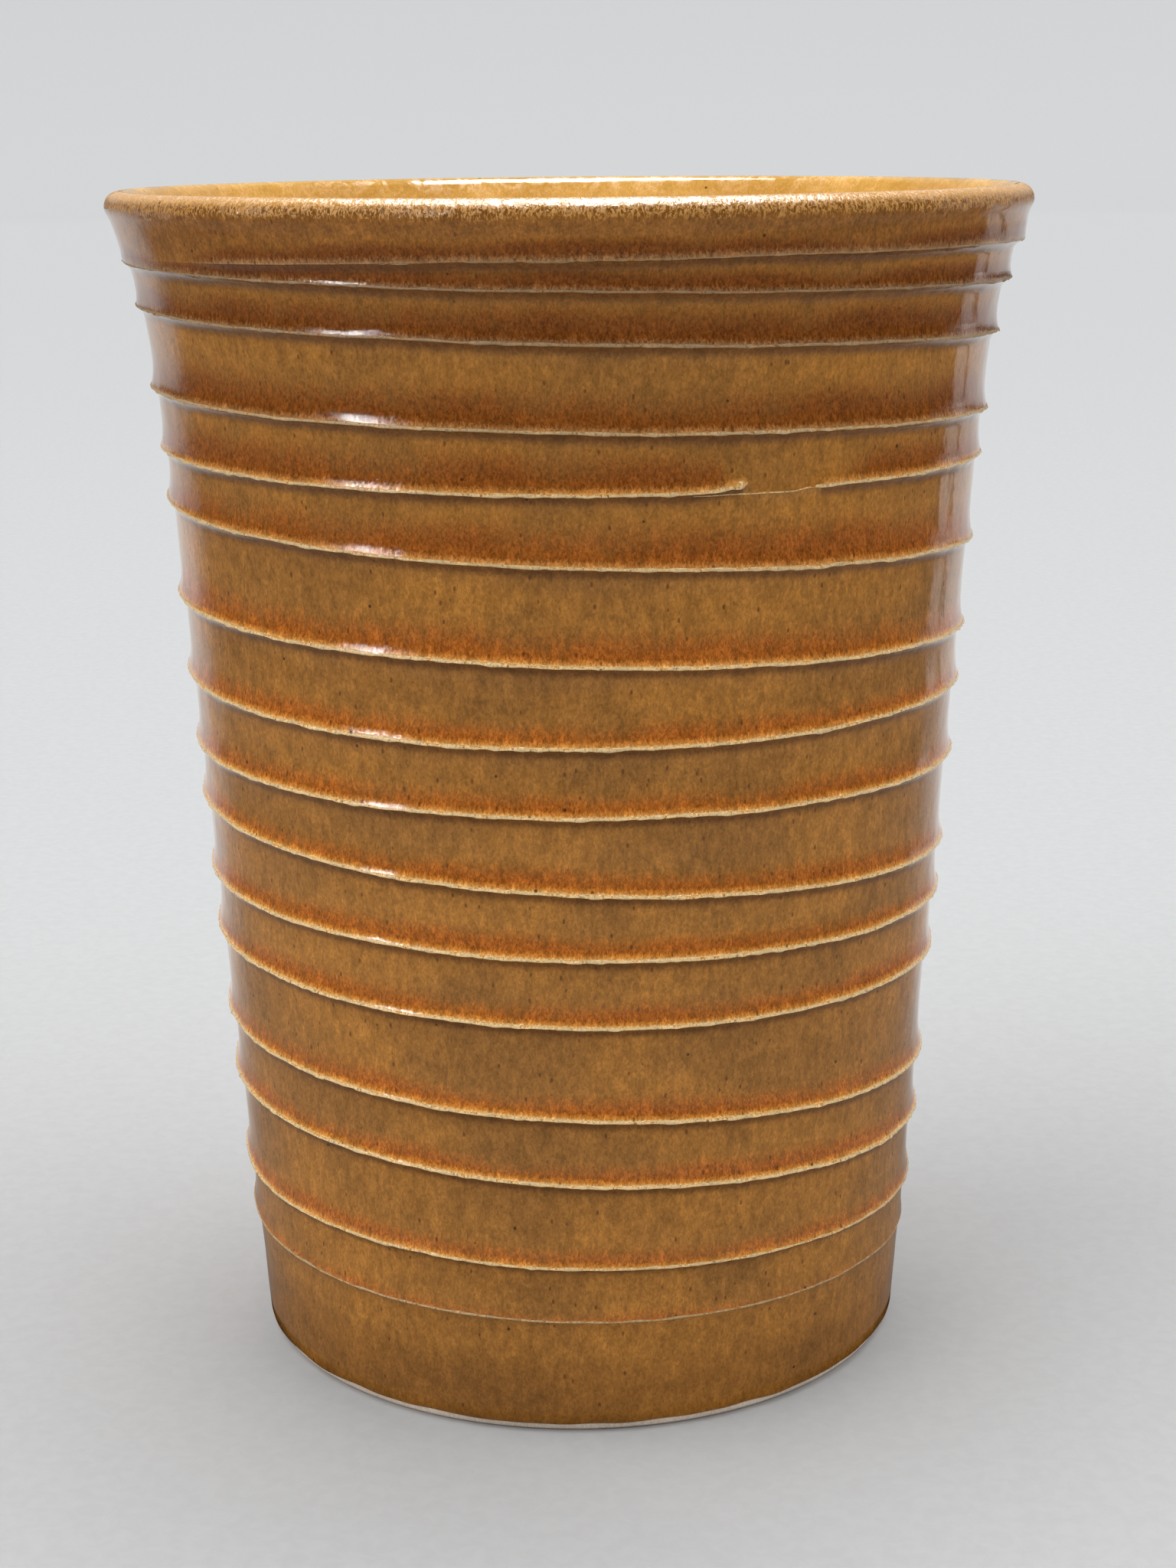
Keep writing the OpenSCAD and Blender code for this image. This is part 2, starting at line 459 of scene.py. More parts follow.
def makeGrainGroup():
    group = bpy.data.node_groups.new("glazeGrain", "ShaderNodeTree")
    group.interface.new_socket("Place", in_out="INPUT", socket_type="NodeSocketVector")
    names = ("Broad", "Mottle", "Fibre", "Streak", "Speck", "Fleck", "Wave")
    for name in names:
        group.interface.new_socket(name, in_out="OUTPUT", socket_type="NodeSocketFloat")
    place = addNode(group, "NodeGroupInput").outputs["Place"]
    end = addNode(group, "NodeGroupOutput")
    broad = addNode(group, "ShaderNodeTexNoise", {"Vector": place, "Scale": grain["broad"], "Detail": 2.5})
    mottle = addNode(group, "ShaderNodeTexNoise", {
        "Vector": place, "Scale": grain["mottle"], "Detail": 3, "Roughness": 0.6, "Distortion": 0.6})
    hair = addNode(group, "ShaderNodeMapping", {"Vector": place, "Scale": (1, 1, 0.55)})
    fibre = addNode(group, "ShaderNodeTexNoise", {
        "Vector": hair.outputs[0], "Scale": grain["fibre"], "Detail": 3, "Roughness": 0.65,
        "Distortion": 0.8})
    drawn = addNode(group, "ShaderNodeMapping", {"Vector": place, "Scale": (1, 1, 0.35)})
    streak = addNode(group, "ShaderNodeTexNoise", {
        "Vector": drawn.outputs[0], "Scale": grain["streak"], "Detail": 4, "Roughness": 0.6})
    dots = addNode(group, "ShaderNodeTexVoronoi", {"Vector": place, "Scale": grain["speck"]})
    speck = remap(group, dots.outputs["Distance"], 0.055, 0.035)
    small = addNode(group, "ShaderNodeTexVoronoi", {"Vector": hair.outputs[0], "Scale": grain["fleck"]})
    fleck = remap(group, small.outputs["Distance"], 0.13, 0.07)
    wave = addNode(group, "ShaderNodeTexNoise", {"Vector": place, "Scale": grain["wave"], "Detail": 2})
    found = [n.outputs["Fac"] for n in (broad, mottle, fibre, streak)] + [speck, fleck, wave.outputs["Fac"]]
    for name, value in zip(names, found):
        group.links.new(value, end.inputs[name])
    return group


grainGroup = makeGrainGroup()
glazeIor = 1.48


def addGrain(tree):
    return addNode(tree, "ShaderNodeGroup", {"Place": objectPlace(tree)}, node_tree=grainGroup).outputs


def shifted(tree, value, amount):
    made = addNode(tree, "ShaderNodeMath", {0: value, 1: amount, 2: -amount / 2}, operation="MULTIPLY_ADD")
    return made.outputs[0]


def toned(tree, colour, value, low, high):
    tone = remap(tree, value, 0.3, 0.7, low, high)
    grey = addNode(tree, "ShaderNodeCombineColor", {0: tone, 1: tone, 2: tone}).outputs[0]
    return blendColour(tree, 1.0, colour, grey, "MULTIPLY")


def addBump(tree, shader, height, strength, distance):
    bump = addNode(tree, "ShaderNodeBump", {"Height": height, "Strength": strength, "Distance": distance})
    tree.links.new(bump.outputs[0], shader.inputs["Normal"])


amber = {
    "tan": (0.43, 0.180, 0.034),
    "olive": (0.32, 0.137, 0.030),
    "rust": (0.47, 0.138, 0.019),
    "deepRust": (0.33, 0.088, 0.013),
    "orange": (0.72, 0.285, 0.048),
    "khaki": (0.34, 0.20, 0.095),       # dull crests of the upper turns
    "cream": (0.84, 0.60, 0.28),
    # painted shade under each crest and towards the foot, also the colour of the dark flecks
    "paintedShadeAndFleck": (0.10, 0.032, 0.008),
    "speck": (0.03, 0.012, 0.005),
    "upper": (0.46, 0.48, 0.58),        # what the rust keeps of its colour in the upper bands
    "lip": (0.58, 0.275, 0.06),
    "lipDark": (0.20, 0.078, 0.015),
    # painted sheen on the top of the lip's round
    "paintedLipSheen": (0.86, 0.46, 0.14),
    # heights over which these set in
    "upperFrom": (62 * mm, 98 * mm),
    "topPoolFrom": (100 * mm, 102 * mm),
    "lipFrom": (104.4 * mm, 105.0 * mm),
    "paintedSheenFrom": (105.1 * mm, 105.8 * mm),
    # painted shade towards the foot
    "footShadeFrom": (9 * mm, 4 * mm),
}


def makeAmber():
    made, tree, shader = newMaterial("amberGlaze", IOR=glazeIor)
    g = addGrain(tree)
    height = heightOn(tree)
    over = readAttribute(tree, "overRidge")
    under = readAttribute(tree, "underRidge")
    near = readAttribute(tree, "nearCrest")
    bright = readAttribute(tree, "brightCrest")
    colour = blendColour(tree, remap(tree, g["Broad"], 0.36, 0.64), amber["olive"], amber["tan"])
    # rust pooled above each crest, drawn up in streaks
    drift = mathNode(tree, "ADD", shifted(tree, g["Streak"], 0.5), shifted(tree, g["Broad"], 1.1))
    drift = mathNode(tree, "ADD", drift, shifted(tree, g["Mottle"], 0.4))
    pooled = remap(tree, mathNode(tree, "ADD", over, drift), 0.16, 0.84)
    pooled = mathNode(tree, "MULTIPLY", pooled, remap(tree, over, 0.0, 0.62))
    pooled = mathNode(tree, "MAXIMUM", pooled, remap(tree, height, *amber["topPoolFrom"], 0.0, 0.4))
    rust = blendColour(tree, remap(tree, g["Fibre"], 0.25, 0.7), amber["deepRust"], amber["rust"])
    rust = blendColour(tree, remap(tree, height, *amber["upperFrom"]), rust, amber["upper"], "MULTIPLY")
    colour = blendColour(tree, pooled, colour, rust)
    # glaze thins to orange and cream towards the crest
    fringe = remap(tree, mathNode(tree, "ADD", near, shifted(tree, g["Fibre"], 0.5)), 0.32, 0.86)
    colour = blendColour(tree, fringe, colour, blendColour(tree, bright, amber["khaki"], amber["orange"]))
    crest = remap(tree, mathNode(tree, "ADD", near, shifted(tree, g["Fibre"], 0.3)), 0.70, 0.93)
    colour = blendColour(tree, crest, colour, blendColour(tree, bright, amber["khaki"], amber["cream"]))
    # painted shade below each crest, darkest just under it
    underShade = mathNode(tree, "MULTIPLY", remap(tree, under, 0.70, 0.91), 0.7)
    colour = blendColour(tree, underShade, colour, amber["paintedShadeAndFleck"])
    colour = toned(tree, toned(tree, colour, g["Fibre"], 0.74, 1.24), g["Streak"], 0.84, 1.14)
    colour = toned(tree, colour, g["Mottle"], 0.87, 1.1)
    # painted shade: darker towards the foot, from 9 mm down to 4 mm
    foot = remap(tree, height, *amber["footShadeFrom"], 0.0, 0.3)
    colour = blendColour(tree, foot, colour, amber["paintedShadeAndFleck"])
    colour = blendColour(tree, mathNode(tree, "MULTIPLY", g["Fleck"], 0.7), colour, amber["paintedShadeAndFleck"])
    # a sandy gold edge to the lip, with a ragged line below it
    sandy = blendColour(tree, remap(tree, g["Fibre"], 0.43, 0.56), amber["lipDark"], amber["lip"])
    ragged = mathNode(tree, "ADD", shifted(tree, g["Fibre"], 2 * mm), shifted(tree, g["Mottle"], 1.4 * mm))
    edge = remap(tree, mathNode(tree, "ADD", height, ragged), *amber["lipFrom"])
    # painted sheen: the top of the lip's round is made lighter where light catches it
    paintedLipSheen = remap(tree, height, *amber["paintedSheenFrom"], 0.0, 0.7)
    colour = blendColour(tree, edge, colour, blendColour(tree, paintedLipSheen, sandy, amber["paintedLipSheen"]))
    colour = blendColour(tree, mathNode(tree, "MULTIPLY", g["Speck"], 0.8), colour, amber["speck"])
    tree.links.new(colour, shader.inputs["Base Color"])
    # glossy, but worn and lumpy on the lip and grainy by the crests
    grainy = mathNode(tree, "MAXIMUM", edge, remap(tree, over, 0.6, 0.8, 0.0, 0.2))
    patchy = mathNode(tree, "MULTIPLY", grainy, remap(tree, g["Fibre"], 0.46, 0.54, 0.0, 0.34))
    worn = mathNode(tree, "MULTIPLY", edge, remap(tree, g["Streak"], 0.5, 0.56, 0.0, 0.16))
    gloss = mathNode(tree, "ADD", worn, remap(tree, g["Fibre"], 0.3, 0.7, 0.02, 0.05))
    tree.links.new(mathNode(tree, "ADD", gloss, patchy), shader.inputs["Roughness"])
    rough = remap(tree, over, 0.66, 0.9, 0.03, 0.36)
    rough = mathNode(tree, "MAXIMUM", rough, mathNode(tree, "MULTIPLY", edge, 1.8))
    coarse = mathNode(tree, "MULTIPLY", g["Fibre"], rough)
    lumpy = mathNode(tree, "MULTIPLY", g["Streak"], mathNode(tree, "MULTIPLY", edge, 14.0))
    uneven = mathNode(tree, "ADD", g["Wave"], mathNode(tree, "ADD", coarse, lumpy))
    addBump(tree, shader, uneven, 0.2, 0.2 * mm)
    return made


crestTone = {
    "cream": (0.93, 0.66, 0.33),
    "gold": (0.66, 0.31, 0.06),
    "rust": (0.34, 0.095, 0.006),
    "thin": (0.38, 0.34, 0.34),     # what the dull upper turns keep of their colour
    "edgeSpotColour": (0.11, 0.045, 0.012),  # darker spots along the lower edge
}


def makeCrest():
    made, tree, shader = newMaterial("crestGlaze", IOR=glazeIor)
    g = addGrain(tree)
    up = readAttribute(tree, "upBead")
    bright = readAttribute(tree, "brightBead")
    ragged = mathNode(tree, "ADD", up, shifted(tree, g["Fibre"], 1.7))
    warm = mathNode(tree, "ADD", ragged, shifted(tree, g["Mottle"], 1.6))
    colour = blendColour(tree, remap(tree, warm, 0.3, 0.8), crestTone["cream"], crestTone["gold"])
    colour = blendColour(tree, remap(tree, ragged, 0.85, 1.15), colour, crestTone["rust"])
    thinned = blendColour(tree, 1.0, colour, crestTone["thin"], "MULTIPLY")
    colour = blendColour(tree, bright, thinned, colour)
    colour = toned(tree, toned(tree, colour, g["Mottle"], 0.82, 1.1), g["Fibre"], 1.1, 0.85)
    lowEdge = remap(tree, up, 0.6, 0.25, 0.0, 0.75)
    edgeSpots = mathNode(tree, "MULTIPLY", remap(tree, g["Fibre"], 0.58, 0.68), lowEdge)
    colour = blendColour(tree, edgeSpots, colour, crestTone["edgeSpotColour"])
    colour = blendColour(tree, mathNode(tree, "MULTIPLY", g["Speck"], 0.8), colour, amber["speck"])
    tree.links.new(colour, shader.inputs["Base Color"])
    gloss = remap(tree, g["Fibre"], 0.3, 0.7, 0.1, 0.24)
    dull = remap(tree, bright, 1.0, 0.0, 0.0, 0.35)
    tree.links.new(mathNode(tree, "ADD", gloss, dull), shader.inputs["Roughness"])
    addBump(tree, shader, g["Fibre"], 0.45, 0.1 * mm)
    return made


honey = {
    "light": (0.84, 0.48, 0.12),
    "dark": (0.72, 0.39, 0.085),
    "lipFrom": (103 * mm, 105 * mm),    # heights over which its gloss gets patchy
}


def makeHoney():
    made, tree, shader = newMaterial("honeyGlaze", IOR=glazeIor)
    g = addGrain(tree)
    colour = blendColour(tree, remap(tree, g["Broad"], 0.35, 0.65), honey["dark"], honey["light"])
    colour = toned(tree, toned(tree, colour, g["Fibre"], 0.85, 1.12), g["Mottle"], 0.9, 1.08)
    colour = blendColour(tree, mathNode(tree, "MULTIPLY", g["Speck"], 0.7), colour, amber["speck"])
    tree.links.new(colour, shader.inputs["Base Color"])
    lip = remap(tree, heightOn(tree), *honey["lipFrom"])
    patchy = mathNode(tree, "MULTIPLY", lip, remap(tree, g["Mottle"], 0.46, 0.56, 0.0, 0.2))
    gloss = remap(tree, g["Fibre"], 0.3, 0.7, 0.05, 0.12)
    tree.links.new(mathNode(tree, "ADD", gloss, patchy), shader.inputs["Roughness"])
    addBump(tree, shader, g["Wave"], 0.22, 0.2 * mm)
    return made


clay = {"dark": (0.72, 0.57, 0.45), "light": (0.92, 0.79, 0.66)}


def makeClay():
    made, tree, shader = newMaterial("bareClay", IOR=1.45)
    g = addGrain(tree)
    colour = blendColour(tree, remap(tree, g["Fibre"], 0.3, 0.7), clay["dark"], clay["light"])
    colour = toned(tree, colour, g["Broad"], 0.85, 1.08)
    colour = blendColour(tree, mathNode(tree, "MULTIPLY", g["Speck"], 0.6), colour, amber["speck"])
    tree.links.new(colour, shader.inputs["Base Color"])
    tree.links.new(remap(tree, g["Fibre"], 0.3, 0.7, 0.75, 0.92), shader.inputs["Roughness"])
    addBump(tree, shader, g["Fibre"], 0.5, 0.15 * mm)
    return made


# outer glaze: a winding band, thrown to the wall's shape, closed over the lip and down the back
def rowDepth(row, width):
    squeeze = np.clip(width / winding["fullBand"], 0, 1)
    upper, lower = winding["under"], winding["over"]
    depth = np.zeros(len(row))
    for i in range(bandRows):
        here = row == i
        if i < len(upper):
            depth[here] = upper[i] * squeeze[here]
        elif i >= bandRows - len(lower):
            depth[here] = width[here] - lower[i - bandRows] * squeeze[here]
        else:
            share = (i - len(upper) + 1) / (winding["between"] + 1)
            start = upper[-1] * squeeze[here]
            depth[here] = start + share * (width[here] - lower[0] * squeeze[here] - start)
    return depth


def throwWall(piece):
    points = readPoints(piece)
    wound = -points[:, 2] / winding["pitch"]
    along = np.mod(np.arctan2(points[:, 1], points[:, 0]) / (2 * math.pi), 1)
    row = np.rint(np.mod(wound - along, 1) * bandRows).astype(int) % bandRows
    turns = winding["firstTurn"] + wound - row / bandRows
    topZ, lowZ, nextZ = (crestHeight(turns + k) for k in range(3))
    width = np.maximum(topZ - lowZ, 0)
    depth = rowDepth(row, width)
    z = topZ - depth
    rise = width - depth
    settle = np.clip((winding["topRing"] - z) / winding["lipSettle"], 0, 1)
    out = crestOut(turns) * underSlope(depth)
    out += settle * crestOut(turns + 1) * slopeOver(turns, rise, lowZ)
    out += settle * crestOut(turns + 2) * slopeOver(turns + 1, rise + np.maximum(lowZ - nextZ, 0), nextZ)
    angle = turnAngle(turns)
    radius = wallRadius(z) + out
    radius = radius + handMade(angle, radius, z)
    writePoints(piece, aroundCup(radius, angle, z))
    markGlaze(piece, turns, row, depth, width, lowZ - nextZ)


# what the glaze's colour follows: how close the crests below and above are, and how bright
def markGlaze(piece, turns, row, depth, width, nextWidth):
    rise = width - depth
    reach = winding["overReach"] * np.clip(width / winding["wideBand"], winding["leastReach"], 1)
    reach = reach * np.interp(turns + 1, winding["reachTurns"], winding["reachShares"])
    over = ridgeShare(turns + 1, winding["colourTip"]) * np.clip(1 - rise / reach, 0, 1)
    overNext = np.clip(1 - (rise + nextWidth) / reach, 0, 1)
    over = np.maximum(over, ridgeShare(turns + 2) * (1 - parted(turns + 1)) * overNext)
    under = ridgeShare(turns) * np.clip(1 - depth / winding["underReach"], 0, 1)
    bright = crestBright(turns + 1)
    near = ridgeShare(turns + 1) * np.clip(1 - rise / winding["nearCrest"], 0, 1)
    near = near * (winding["dullNear"] + (1 - winding["dullNear"]) * bright)
    onCrest = (row == 0) & (turns > ridge["start"])
    setAttribute(piece, "overRidge", np.where(onCrest, ridgeShare(turns), over))
    setAttribute(piece, "nearCrest", np.where(onCrest, ridgeShare(turns), near))
    setAttribute(piece, "underRidge", np.where(row == 0, 0, under))
    setAttribute(piece, "brightCrest", bright)


# the lower edge of the outer glaze, which stops in an uneven line
glazeEdge = {
    "inset": 0.15 * mm,
    "round": 0.2 * mm,
    "rowsFrom": 1.8 * mm,   # level rows from here up to the wall's bottom ring
    "rows": 3,
    "ragged": 0.16 * mm,
    "raggedBelow": 0.3 * mm,
    "waves": 300,           # in a metre
    "seed": 2.5,
}


def makeRim():
    thick = cup["glazeThick"]
    tilt = cup["flareAngle"]
    bare = cup["bareLine"]
    front = [wallPoint(winding["topRing"], 0)] + lipArc(lipR, -tilt, math.pi / 2, cup["lipSteps"])
    back = lipArc(lipR - thick, math.pi / 2, -tilt, cup["lipBackSteps"])
    back += [wallPoint(z, thick) for z in backHeights]
    edge = [wallPoint(bare, glazeEdge["inset"]), wallPoint(bare + glazeEdge["round"], 0)]
    levels = np.linspace(glazeEdge["rowsFrom"], winding["bottomRing"], glazeEdge["rows"])
    rim = drawProfile("rim", front + back + edge + [wallPoint(z, 0) for z in levels])
    turnOnWheel(rim, winding["steps"])
    points = readPoints(rim)
    low = points[:, 2] < bare + glazeEdge["raggedBelow"]
    waves = glazeEdge["waves"]
    ragged = [noise.noise((waves * x, waves * y, glazeEdge["seed"])) for x, y, z in points[low]]
    points[low, 2] += glazeEdge["ragged"] * np.array(ragged)
    writePoints(rim, points)
    return rim


def makeOuterGlaze():
    rows = range(bandRows + 1)
    band = [Vector((winding["radius"], 0, -winding["pitch"] * i / bandRows)) for i in rows]
    piece = drawProfile("outer_glaze_skin", band)
    turnOnWheel(piece, winding["steps"], winding["pitch"], winding["turns"])
    weld(piece, winding["weld"])
    throwWall(piece)
    selectOnly(piece, makeRim())
    bpy.ops.object.join()
    weld(piece, cup["weld"])
    return piece


# ridges: a thin bead of cream glaze along the crest
bead = {
    "sides": 6,
    "steps": 720,
    "pitch": 10 * mm,           # of the plain winding, before it is laid on the crest
    "weld": 0.001 * mm,
    "long": 0.23 * mm,          # half of its width, which lies up the slope
    "thick": 0.07 * mm,         # half of its thickness
    "sink": 0.03 * mm,
    "rise": 0.09 * mm,
    "lean": math.radians(38),   # of its width from upright, on a full ridge
    "splitGap": 0.01,           # turns from the ridge's start to the bead's
    "overlap": 0.02,            # turns that the lower run starts before the break
    "clear": 0.05 * mm,         # lift where the two runs part
    "clearTurns": 0.008,
    "endTurns": 0.008,          # its start tapers over these turns, and its end is blunter
    "blunt": 6,
    "least": 0.05,              # keeps its ends from closing to a point
    "thinStart": 0.5,           # of the lower run, below the upper run's tip
    "tipSwell": 1.6,            # of the upper run's tip, over these turns before the break
    "swellTurns": (0.014, 0.002),
    "thinTurns": (0.8, 1.6, 3.0, 4.2, 14.5, 16.0),
    "thinShares": (0.8, 0.9, 0.95, 1, 1, 0.75),
    "waves": (140, 12.5),       # in a turn, and a seed
    "waveShare": 0.45,
    "fineWaves": (330, 15.5),
    "fineShare": 0.5,
    "leastLow": 0.2,            # shares of its rise, thickness and lean that thin stretches keep
    "leastSkin": 0.3,
    "leastLean": 0.2,
}


def beadSize(turn, first, last):
    fromEnds = np.minimum(turn - first, bead["blunt"] * (last - turn)) / bead["endTurns"]
    share = np.clip(fromEnds, bead["least"], 1) ** 0.5
    share *= np.interp(turn, bead["thinTurns"], bead["thinShares"])
    share *= np.sqrt(np.clip(ridgeShare(turn), bead["least"], 1))
    waves = bead["waveShare"] * ripple(turn, *bead["waves"])
    uneven = share * (1 + waves + bead["fineShare"] * ripple(turn, *bead["fineWaves"]))
    if last > ridge["resume"]:
        thin = bead["thinStart"] * np.minimum(1, uneven / np.maximum(share, bead["least"]))
        return np.where(turn < ridge["resume"], thin, uneven)
    swellFrom, swellTo = (ridge["breakOff"] - t for t in bead["swellTurns"])
    return uneven * np.interp(turn, (swellFrom, swellTo), (1, bead["tipSwell"]))


def makeRidge(name, first, last):
    turns = math.ceil(last - first)
    ring = [Vector((winding["radius"] + mm * math.cos(a), 0, mm * math.sin(a)))
            for a in (2 * math.pi * i / bead["sides"] for i in range(bead["sides"]))]
    piece = drawProfile(name, ring, closed=True)
    turnOnWheel(piece, bead["steps"], bead["pitch"], turns)
    points = readPoints(piece)
    side = (np.hypot(points[:, 0], points[:, 1]) - winding["radius"]) / mm
    along = np.mod(np.arctan2(points[:, 1], points[:, 0]) / (2 * math.pi), 1)
    wound = along + np.rint(-points[:, 2] / bead["pitch"] - along)
    up = (points[:, 2] + wound * bead["pitch"]) / mm
    turn = first + wound * (last - first) / turns
    size = beadSize(turn, first, last)
    low = np.clip(size, bead["leastLow"], 1)
    lifted = np.zeros(len(turn))
    if last > ridge["resume"]:      # the thin start stays below the hook
        lifted = hook(turn) + ridge["dip"] * beforeBreak(turn)
    width = up * bead["long"] * size
    skin = side * bead["thick"] * np.maximum(size, bead["leastSkin"])
    lean = bead["lean"] * np.clip(crestOut(turn) / ridge["out"], bead["leastLean"], 1)
    ground = crestOut(turn) * np.where(lifted > 0, underSlope(lifted), overSlope(bead["rise"] * low))
    parting = np.clip(1 - np.abs(turn - ridge["breakOff"]) / bead["clearTurns"], 0, 1)
    base = crestHeight(turn) - lifted
    angle = turnAngle(turn)
    radius = wallRadius(base) + ground
    radius = radius + handMade(angle, radius, base) - bead["sink"] * low
    radius = radius - width * np.sin(lean) + skin * np.cos(lean) + parting * bead["clear"]
    z = base + bead["rise"] * low + width * np.cos(lean) + skin * np.sin(lean)
    writePoints(piece, aroundCup(radius, angle, z))
    setAttribute(piece, "upBead", up * 0.5 + 0.5)
    setAttribute(piece, "brightBead", crestBright(turn))
    selectOnly(piece)
    bpy.ops.object.mode_set(mode="EDIT")
    bpy.ops.mesh.select_all(action="DESELECT")
    bpy.ops.mesh.select_non_manifold()
    bpy.ops.mesh.fill_holes(sides=bead["sides"])
    bpy.ops.object.mode_set(mode="OBJECT")
    weld(piece, bead["weld"])
    return piece


# clay body and liner, turned from their sections
cornerZ = cup["floorThick"] + cup["floorRound"] * (1 - math.sin(lowLean))
cornerZ -= cup["cornerWall"] * math.sin(lowLean)
lowNormal = Vector((math.cos(lowLean), 0, -math.sin(lowLean)))
cornerAt = wallPoint(cornerZ, wallThick(cornerZ)) - cup["floorRound"] * lowNormal

# points down the inside, closer together under the lip
inside = {"faceRows": 60, "backRows": 12, "crowding": 1.6, "roundSteps": 10, "floorPoints": 8}


def innerLine(depth, rows):
    steps = inside["roundSteps"]
    line = lipArc(lipR - depth, math.pi / 2, math.pi - cup["flareAngle"], steps)
    shares = [(i / rows) ** inside["crowding"] for i in range(1, rows + 1)]
    heights = [joinZ - (joinZ - cornerZ) * share for share in shares]
    line += [wallPoint(z, wallThick(z) - depth) for z in heights]
    corner = cup["floorRound"] + depth
    line += arcPoints((cornerAt.x, cornerAt.z), corner, -lowLean, -math.pi / 2, steps)[1:]
    floorZ = cornerAt.z - cup["floorRound"] - depth
    return line + [Vector((x, 0, floorZ)) for x in np.linspace(cornerAt.x, 0, inside["floorPoints"])[1:]]


def makeLiner():
    face = innerLine(0, inside["faceRows"])
    back = innerLine(cup["glazeThick"], inside["backRows"])
    piece = drawProfile("liner_glaze_skin", face + back[::-1], closed=True)
    turnOnWheel(piece, cup["columns"])
    weld(piece, cup["weld"])
    return piece


def makeClayBody():
    thick = cup["glazeThick"]
    edgeZ = cup["footRound"] * (1 - math.sin(lowLean)) - thick * math.sin(lowLean)
    edgeAt = wallPoint(edgeZ, thick) - cup["footRound"] * lowNormal
    across = np.linspace(0, cup["recessFlat"], cup["ringPoints"])
    rings = [cup["ringDepth"] * math.sin(x / cup["ringWidth"]) for x in across]
    line = [Vector((x, 0, cup["recessDepth"] + ring)) for x, ring in zip(across, rings)]
    line += [Vector((cup["recessRadius"], 0, 0))]
    line += arcPoints((edgeAt.x, edgeAt.z), cup["footRound"], -math.pi / 2, -lowLean, cup["footSteps"])
    line += [wallPoint(z, thick) for z in backHeights[::-1]]
    line += lipArc(lipR - thick, -cup["flareAngle"], math.pi / 2, cup["lipBackSteps"])
    line += innerLine(thick, inside["backRows"])[1:]
    piece = drawProfile("clay_body_turned", line)
    turnOnWheel(piece, cup["columns"])
    weld(piece, cup["weld"])
    return piece


finishPiece(makeClayBody(), makeClay(), "bare_clay", "clay_body")
finishPiece(makeOuterGlaze(), makeAmber(), "amber_glaze", "outer_glaze")
finishPiece(makeLiner(), makeHoney(), "honey_glaze", "liner_glaze")
crestGlaze = makeCrest()
upperRun = (ridge["start"] + bead["splitGap"], ridge["breakOff"])
# the lower run starts under the upper run's tip
lowerRun = (ridge["breakOff"] - bead["overlap"], ridge["fadeTurns"][-1])
finishPiece(makeRidge("upper_ridge_bead", *upperRun), crestGlaze, "ridge_glaze", "upper_ridge")
finishPiece(makeRidge("lower_ridge_bead", *lowerRun), crestGlaze, "ridge_glaze", "lower_ridge")

# stage: a pale round floor that curves up all round
stage = {
    "rings": (0.0, 0.1, 0.3, 0.8, 3.0),     # radii of the flat part
    "bend": 4.0,
    "bendSteps": 12,
    "columns": 96,
    "rise": math.radians(27),
    "colour": (0.50, 0.505, 0.515),
    "specular": 0.2,
}


def makeStage():
    line = [Vector((x, 0, 0)) for x in stage["rings"]]
    low = -math.pi / 2
    bendAt = (stage["rings"][-1], stage["bend"])
    line += arcPoints(bendAt, stage["bend"], low, low + stage["rise"], stage["bendSteps"])[1:]
    piece = drawProfile("floor", line)
    turnOnWheel(piece, stage["columns"])
    weld(piece, cup["weld"])
    made, tree, shader = newMaterial("paleFloor", Roughness=0.9)
    g = addGrain(tree)
    colour = toned(tree, stage["colour"], g["Mottle"], 0.97, 1.02)
    tree.links.new(colour, shader.inputs["Base Color"])
    shader.inputs["Specular IOR Level"].default_value = stage["specular"]
    piece.data.materials.append(made)
    piece.visible_glossy = False        # the card shows in the glaze instead
    print("laid the floor")


# a dark card round the cup, seen only in the glaze, that keeps its colour deep: paler close to the cup,
# in a narrow strip to the right and behind the cup
card = {
    "size": 16,
    "above": 2 * mm,
    "near": 0.15,       # pale up to here
    "far": 0.26,        # dark from here on
    "clear": (0.2, 0.4),        # distances over which its edges get clear
    "left": 130,        # from these azimuths on it is pale again
    "right": 133,
    "strip": (122, 131),
    "soft": (20, 1.5, 9),       # of those edges: close to the cup, and further off to the right and left
    "pale": (0.17, 0.155, 0.14),
    "behind": (0.50, 0.505, 0.515),
    "dark": (0.02, 0.02, 0.022),
}


